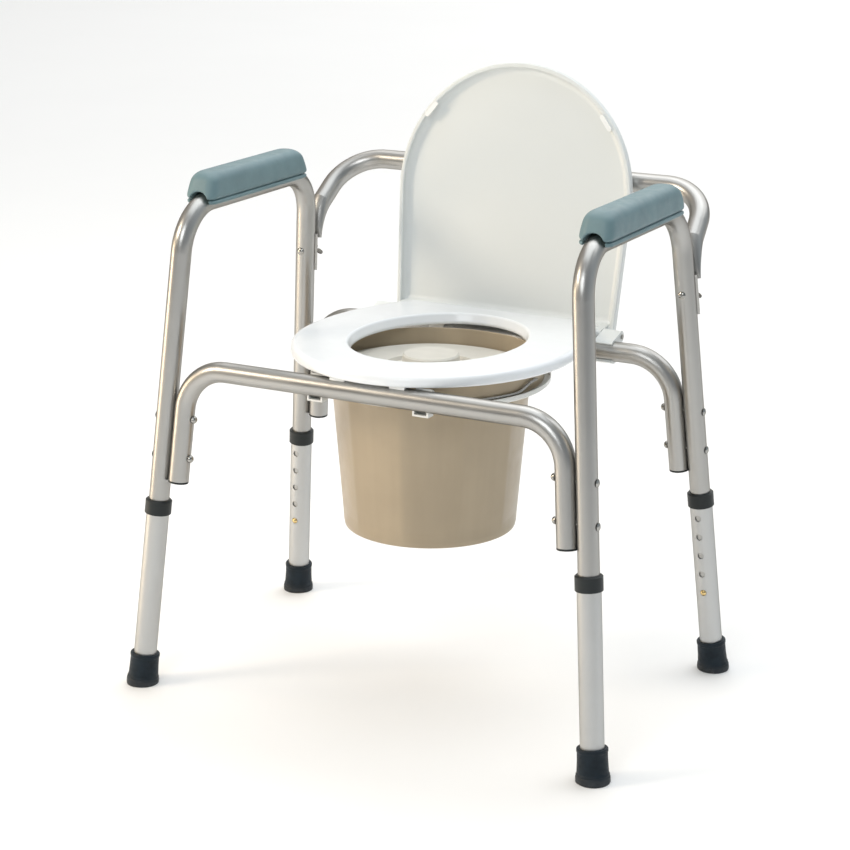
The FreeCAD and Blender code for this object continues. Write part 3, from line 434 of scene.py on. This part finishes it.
def rounded_rectangle(half_x, half_y, radius):
    """Points round a rectangle with round corners, about the origin."""
    steps = 8
    points = []
    for quarter in range(4):
        turn = quarter * math.pi / 2
        sign_x = 1 if quarter in (0, 3) else -1
        sign_y = 1 if quarter in (0, 1) else -1
        for i in range(steps + 1):
            a = turn + i * math.pi / 2 / steps
            x = sign_x * (half_x - radius) + radius * math.cos(a)
            y = sign_y * (half_y - radius) + radius * math.sin(a)
            points.append((x, y))
    return points


def loft(name, rings):
    """Closed solid through rings that hold the same number of points."""
    bm = bmesh.new()
    loops = [[bm.verts.new(point) for point in ring] for ring in rings]
    for lower, upper in zip(loops, loops[1:]):
        for i in range(len(lower)):
            j = (i + 1) % len(lower)
            bm.faces.new((lower[i], lower[j], upper[j], upper[i]))
    bm.faces.new(list(reversed(loops[0])))
    bm.faces.new(loops[-1])
    return mesh_object(name, bm)


def pad_block(name, low, high):
    """Crowned pad without its groove: rounded ends that slope back, bulging sides and a rolled lower edge."""
    crown, roll, bulge = 10.5 * MM, 4.2 * MM, 0.9 * MM
    side_gap, side_slope = 0.4 * MM, 2.6 * MM
    end_reach, end_slope, end_rounding = 3.6 * MM, 13.0 * MM, 1.15
    corner = 12.5 * MM
    roll_steps, side_steps, crown_steps = 4, 6, 9
    centre = (low + high) / 2
    half_x, half_y = (high.x - low.x) / 2, (high.y - low.y) / 2
    height = high.z - low.z
    shoulder = height - crown
    quarter = math.pi / 2
    levels = [roll * (1 - math.cos(quarter * i / roll_steps)) for i in range(roll_steps)]
    levels += [roll + (shoulder - roll) * i / side_steps for i in range(side_steps + 1)]
    levels += [shoulder + crown * math.sin(quarter * i / crown_steps) for i in range(1, crown_steps + 1)]
    rings = []
    for z in levels:
        over = max(0.0, z - shoulder) / crown
        under = max(0.0, roll - z) / roll
        inset = crown * (1 - math.sqrt(max(0.0, 1 - over * over)))
        inset += roll * (1 - math.sqrt(max(0.0, 1 - under * under)))
        share = z / height
        swell = bulge * math.sin(math.pi * min(1.0, share * 1.3))
        ring_x = half_x - side_gap - side_slope * share + swell - inset
        ring_y = half_y + end_reach - end_slope * share - end_rounding * inset
        ring = rounded_rectangle(ring_x, ring_y, min(corner, ring_x * 0.9))
        rings.append([(centre.x + x, centre.y + y, low.z + z) for x, y in ring])
    return loft(name, rings)


def pad_lip(name, low, high):
    """Lower lip of the pad, flush with its sides, with a narrow core that reaches up into the pad."""
    thick, core_height, chamfer, corner = 4.4, 10.0, 0.8, 10.0
    side, core_side = 0.6, 3.6
    outline = (
        (0.0, side + chamfer),
        (1.0, side),
        (thick - chamfer, side),
        (thick, side + chamfer),
        (thick, core_side),
        (core_height, core_side),
    )
    centre = (low + high) / 2
    half_x, half_y = (high.x - low.x) / 2, (high.y - low.y) / 2
    rings = []
    for z, inset in outline:
        ring = rounded_rectangle(half_x - inset * MM, half_y - inset * MM, corner * MM)
        rings.append([(centre.x + x, centre.y + y, low.z + z * MM) for x, y in ring])
    return loft(name, rings)


def groove_cutter(name, centre, half_length):
    """Round bar that leaves the arm rail's groove, wider below the rail and at both ends of the pad."""
    bore, mouth, mouth_depth, lower_gap = 12.95 * MM, 13.5 * MM, 14.0 * MM, 1.2 * MM
    past_end, segments = 30 * MM, 48
    half_stations = (
        (half_length + past_end, mouth + 0.6 * MM),
        (half_length, mouth + 0.4 * MM),
        (half_length - mouth_depth * 0.8, mouth),
        (half_length - mouth_depth, bore),
    )
    stations = [(-y, radius) for y, radius in half_stations]
    stations += reversed(half_stations)
    rings = []
    for y, radius in stations:
        ring = []
        for i in range(segments):
            turn = 2 * math.pi * i / segments
            across, up = math.cos(turn), math.sin(turn)
            under = min(1.0, max(0.0, 0.45 - up) / 0.35)
            r = max(radius, bore + lower_gap * under)
            ring.append((centre.x + r * across, centre.y + y, centre.z + r * up))
        rings.append(ring)
    return loft(name, rings)


def add_boolean(obj, other, operation):
    modifier = obj.modifiers.new(operation.lower(), "BOOLEAN")
    modifier.object = other
    modifier.operation = operation
    modifier.solver = "EXACT"


def applied(obj):
    """Turn an object's modifiers into its mesh."""
    graph = bpy.context.evaluated_depsgraph_get()
    shaped = bpy.data.meshes.new_from_object(obj.evaluated_get(graph))
    obj.modifiers.clear()
    obj.data = shaped


def arm_pad(side):
    """Moulded foam arm pad pushed down over the rail, with a lower lip below a narrow crease."""
    rail_radius, end_reach = 12.7 * MM, 3.6 * MM
    block_base, block_top, lip_base = 2.6 * MM, 0.9 * MM, -2.4 * MM
    node = "arm_pad_" + side
    low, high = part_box(node)
    up = Vector((0, 0, 1))
    rail = (low + high) / 2
    rail.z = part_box("side_frame_" + side)[1].z - rail_radius
    obj = pad_block("moulded_arm_pad_" + side, low + up * block_base, high + up * block_top)
    lip = pad_lip("lip", low + up * lip_base, high)
    cutter = groove_cutter("groove", rail, (high.y - low.y) / 2 + end_reach)
    add_boolean(obj, cutter, "DIFFERENCE")
    remesh = obj.modifiers.new("remesh", "REMESH")
    remesh.mode = "VOXEL"
    remesh.voxel_size = 1.0 * MM
    smooth = obj.modifiers.new("smooth", "SMOOTH")
    smooth.factor = 0.5
    smooth.iterations = 18
    applied(obj)
    add_boolean(lip, cutter, "DIFFERENCE")
    applied(lip)
    add_boolean(obj, lip, "UNION")
    applied(obj)
    bpy.data.objects.remove(cutter)
    bpy.data.objects.remove(lip)
    obj.data.shade_smooth()
    stand_for(obj, node, "frame", PAD_SKIN)


FACETS = 10
FACET_TURN = math.radians(45.5 - 90)
FACET_WEIGHT = 0.42
FACET_LOW, FACET_HIGH, FACET_FADE = 216 * MM, 394 * MM, 12 * MM


def faceted(radius, height, turn):
    """Pail wall: ten soft vertical facets, fading out at the rim and the base."""
    fade = min(1.0, max(0.0, (height - FACET_LOW) / FACET_FADE))
    fade *= min(1.0, max(0.0, (FACET_HIGH - height) / FACET_FADE))
    half = math.pi / FACETS
    inside = (turn - FACET_TURN) % (2 * half) - half
    flat = math.cos(half) / math.cos(inside)
    return radius * (1 - FACET_WEIGHT * fade * (1 - flat))


def pail():
    """Bucket with softly faceted walls, a rounded base and a collar that widens at its neck."""
    wall, collar_height, foot_height, wall_steps = 2.5, 26.5, 6.0, 14
    base_edge, base_radius, wall_low, wall_high = 91.0, 107.0, 108.2, 123.4
    hollow_low, hollow_high = 105.6, 121.0
    low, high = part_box("pail")
    middle = (low + high) / 2
    base, top, rim = low.z / MM, high.z / MM, (high.x - low.x) / 2 / MM
    neck = top - collar_height
    outline = [
        (0, base + 1.2),
        (base_edge - 3.0, base + 1.2),
        (base_edge, base),
        (base_radius, base),
    ]
    for i in range(wall_steps + 1):
        t = i / wall_steps
        radius = wall_low + (wall_high - wall_low) * t
        outline.append((radius, base + foot_height + (neck - base - foot_height - 3.0) * t))
    outline += [
        (wall_high + 0.1, neck),
        (rim, neck),
        (rim, top - 1.0),
        (rim - 0.8, top),
        (rim - wall + 0.5, top),
        (rim - wall, top - 1.0),
        (rim - wall, neck + wall),
        (hollow_high, neck + wall),
        (hollow_low, base + foot_height),
        (hollow_low - 2.6, base + wall),
        (0, base + wall),
    ]
    profile = [(r * MM, z * MM) for r, z in rounded(outline, 1.2, 3)]
    obj = lathe("bucket", profile, Matrix.Translation((middle.x, middle.y, 0)), 240, faceted)
    stand_for(obj, "pail", "pail", PAIL_PLASTIC)


# ---------------------------------------------------------------- studio

def studio_floor():
    """Plain pale floor. It follows the front left leg, so the chair stands on it with its legs let out."""
    reach = 40.0
    signs = ((-1, -1), (1, -1), (1, 1), (-1, 1))
    mesh = bpy.data.meshes.new("floor")
    mesh.from_pydata([(reach * x, reach * y, 0) for x, y in signs], [], [(0, 1, 2, 3)])
    obj = new_object("floor", mesh)
    obj.data.materials.append(floor_paint())
    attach(obj, "leg_front_left")


def sky():
    """Even sky, warm on the left and cool on the right, and darker in front, where the tubes mirror it."""
    warm, cool = (1.0, 0.93, 0.85, 1.0), (0.84, 0.93, 1.0, 1.0)
    front_strength, rear_strength = 0.26, 0.57
    world = bpy.data.worlds.new("studio")
    world.use_nodes = True
    nodes, links = world.node_tree.nodes, world.node_tree.links
    background = nodes["Background"]
    split = nodes.new("ShaderNodeSeparateXYZ")
    links.new(nodes.new("ShaderNodeTexCoord").outputs["Generated"], split.inputs[0])

    def ramp(axis, start, end, low, high):
        node = nodes.new("ShaderNodeMapRange")
        limits = {"From Min": start, "From Max": end, "To Min": low, "To Max": high}
        for socket, number in limits.items():
            node.inputs[socket].default_value = number
        links.new(split.outputs[axis], node.inputs["Value"])
        return node.outputs["Result"]

    tone = nodes.new("ShaderNodeMix")
    tone.data_type = "RGBA"
    tone.inputs[6].default_value = warm
    tone.inputs[7].default_value = cool
    links.new(ramp("X", -0.8, 0.8, 0.0, 1.0), tone.inputs["Factor"])
    links.new(tone.outputs[2], background.inputs["Color"])
    links.new(ramp("Y", -0.8, 0.3, front_strength, rear_strength), background.inputs["Strength"])
    bpy.context.scene.world = world


# name, place, aim, width, height, power, colour
LAMPS = (
    ("key", (-2.3, -2.0, 2.2), (0, 0, 0.5), 0.8, 0.8, 42.0, (1.0, 0.87, 0.70)),
    ("low_left", (-1.7, -0.75, 0.42), (0, 0.05, 0.42), 0.5, 0.75, 8.0, (1.0, 0.78, 0.52)),
    ("front", (0.4, -3.3, 2.4), (0, 0, 0.5), 1.6, 1.6, 37.0, (0.95, 0.98, 1.0)),
    ("top", (0.0, 0.3, 3.6), (0, 0.3, 0), 3.0, 3.0, 42.0, (0.93, 0.97, 1.0)),
    ("rear", (0.0, 9.0, 7.0), (0, 8.0, 0), 14.0, 14.0, 860.0, (1.0, 1.0, 1.0)),
)


def lamps():
    """Large soft lamps that the camera doesn't see."""
    for name, place, aim, width, height, power, colour in LAMPS:
        light = bpy.data.lights.new(name, "AREA")
        light.shape = "RECTANGLE"
        light.size = width
        light.size_y = height
        light.energy = power
        light.color = colour
        lamp = new_object("lamp_" + name, light)
        lamp.location = place
        lamp.rotation_mode = "QUATERNION"
        lamp.rotation_quaternion = (Vector(aim) - Vector(place)).to_track_quat("-Z", "Y")
        lamp.visible_camera = False


AZIMUTH, ELEVATION, ROLL = math.radians(27.5883), math.radians(16.2773), math.radians(0.2526)
DISTANCE = 2.83605
SIDE_STEP, UP_STEP = -0.008384, -0.056016
LEG_FOOT_CENTRE_Y = (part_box("foot_front_left")[0].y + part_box("foot_rear_left")[1].y) / 2
AIM = Vector((0.0, LEG_FOOT_CENTRE_Y, 0.393))
FOCAL, SENSOR = 96.9717, 36.0


def camera():
    """Camera at the photograph's viewing angle."""
    back = Vector((
        math.sin(AZIMUTH) * math.cos(ELEVATION),
        -math.cos(AZIMUTH) * math.cos(ELEVATION),
        math.sin(ELEVATION),
    ))
    right = Vector((math.cos(AZIMUTH), math.sin(AZIMUTH), 0.0))
    up = back.cross(right)
    data = bpy.data.cameras.new("camera")
    data.lens = FOCAL
    data.sensor_width = SENSOR
    data.clip_end = 200.0
    obj = new_object("camera", data)
    rolled_right = right * math.cos(ROLL) + up * math.sin(ROLL)
    rolled_up = up * math.cos(ROLL) - right * math.sin(ROLL)
    turn = Matrix((rolled_right, rolled_up, back)).transposed().to_4x4()
    place = AIM + back * DISTANCE + right * SIDE_STEP + up * UP_STEP
    obj.matrix_world = Matrix.Translation(place) @ turn
    bpy.context.scene.camera = obj


finish_cad()
for corner in CORNERS:
    foot(corner)
for side in ("left", "right"):
    arm_pad(side)
pail()
studio_floor()
sky()
lamps()
camera()
bpy.context.scene.view_settings.view_transform = "Standard"
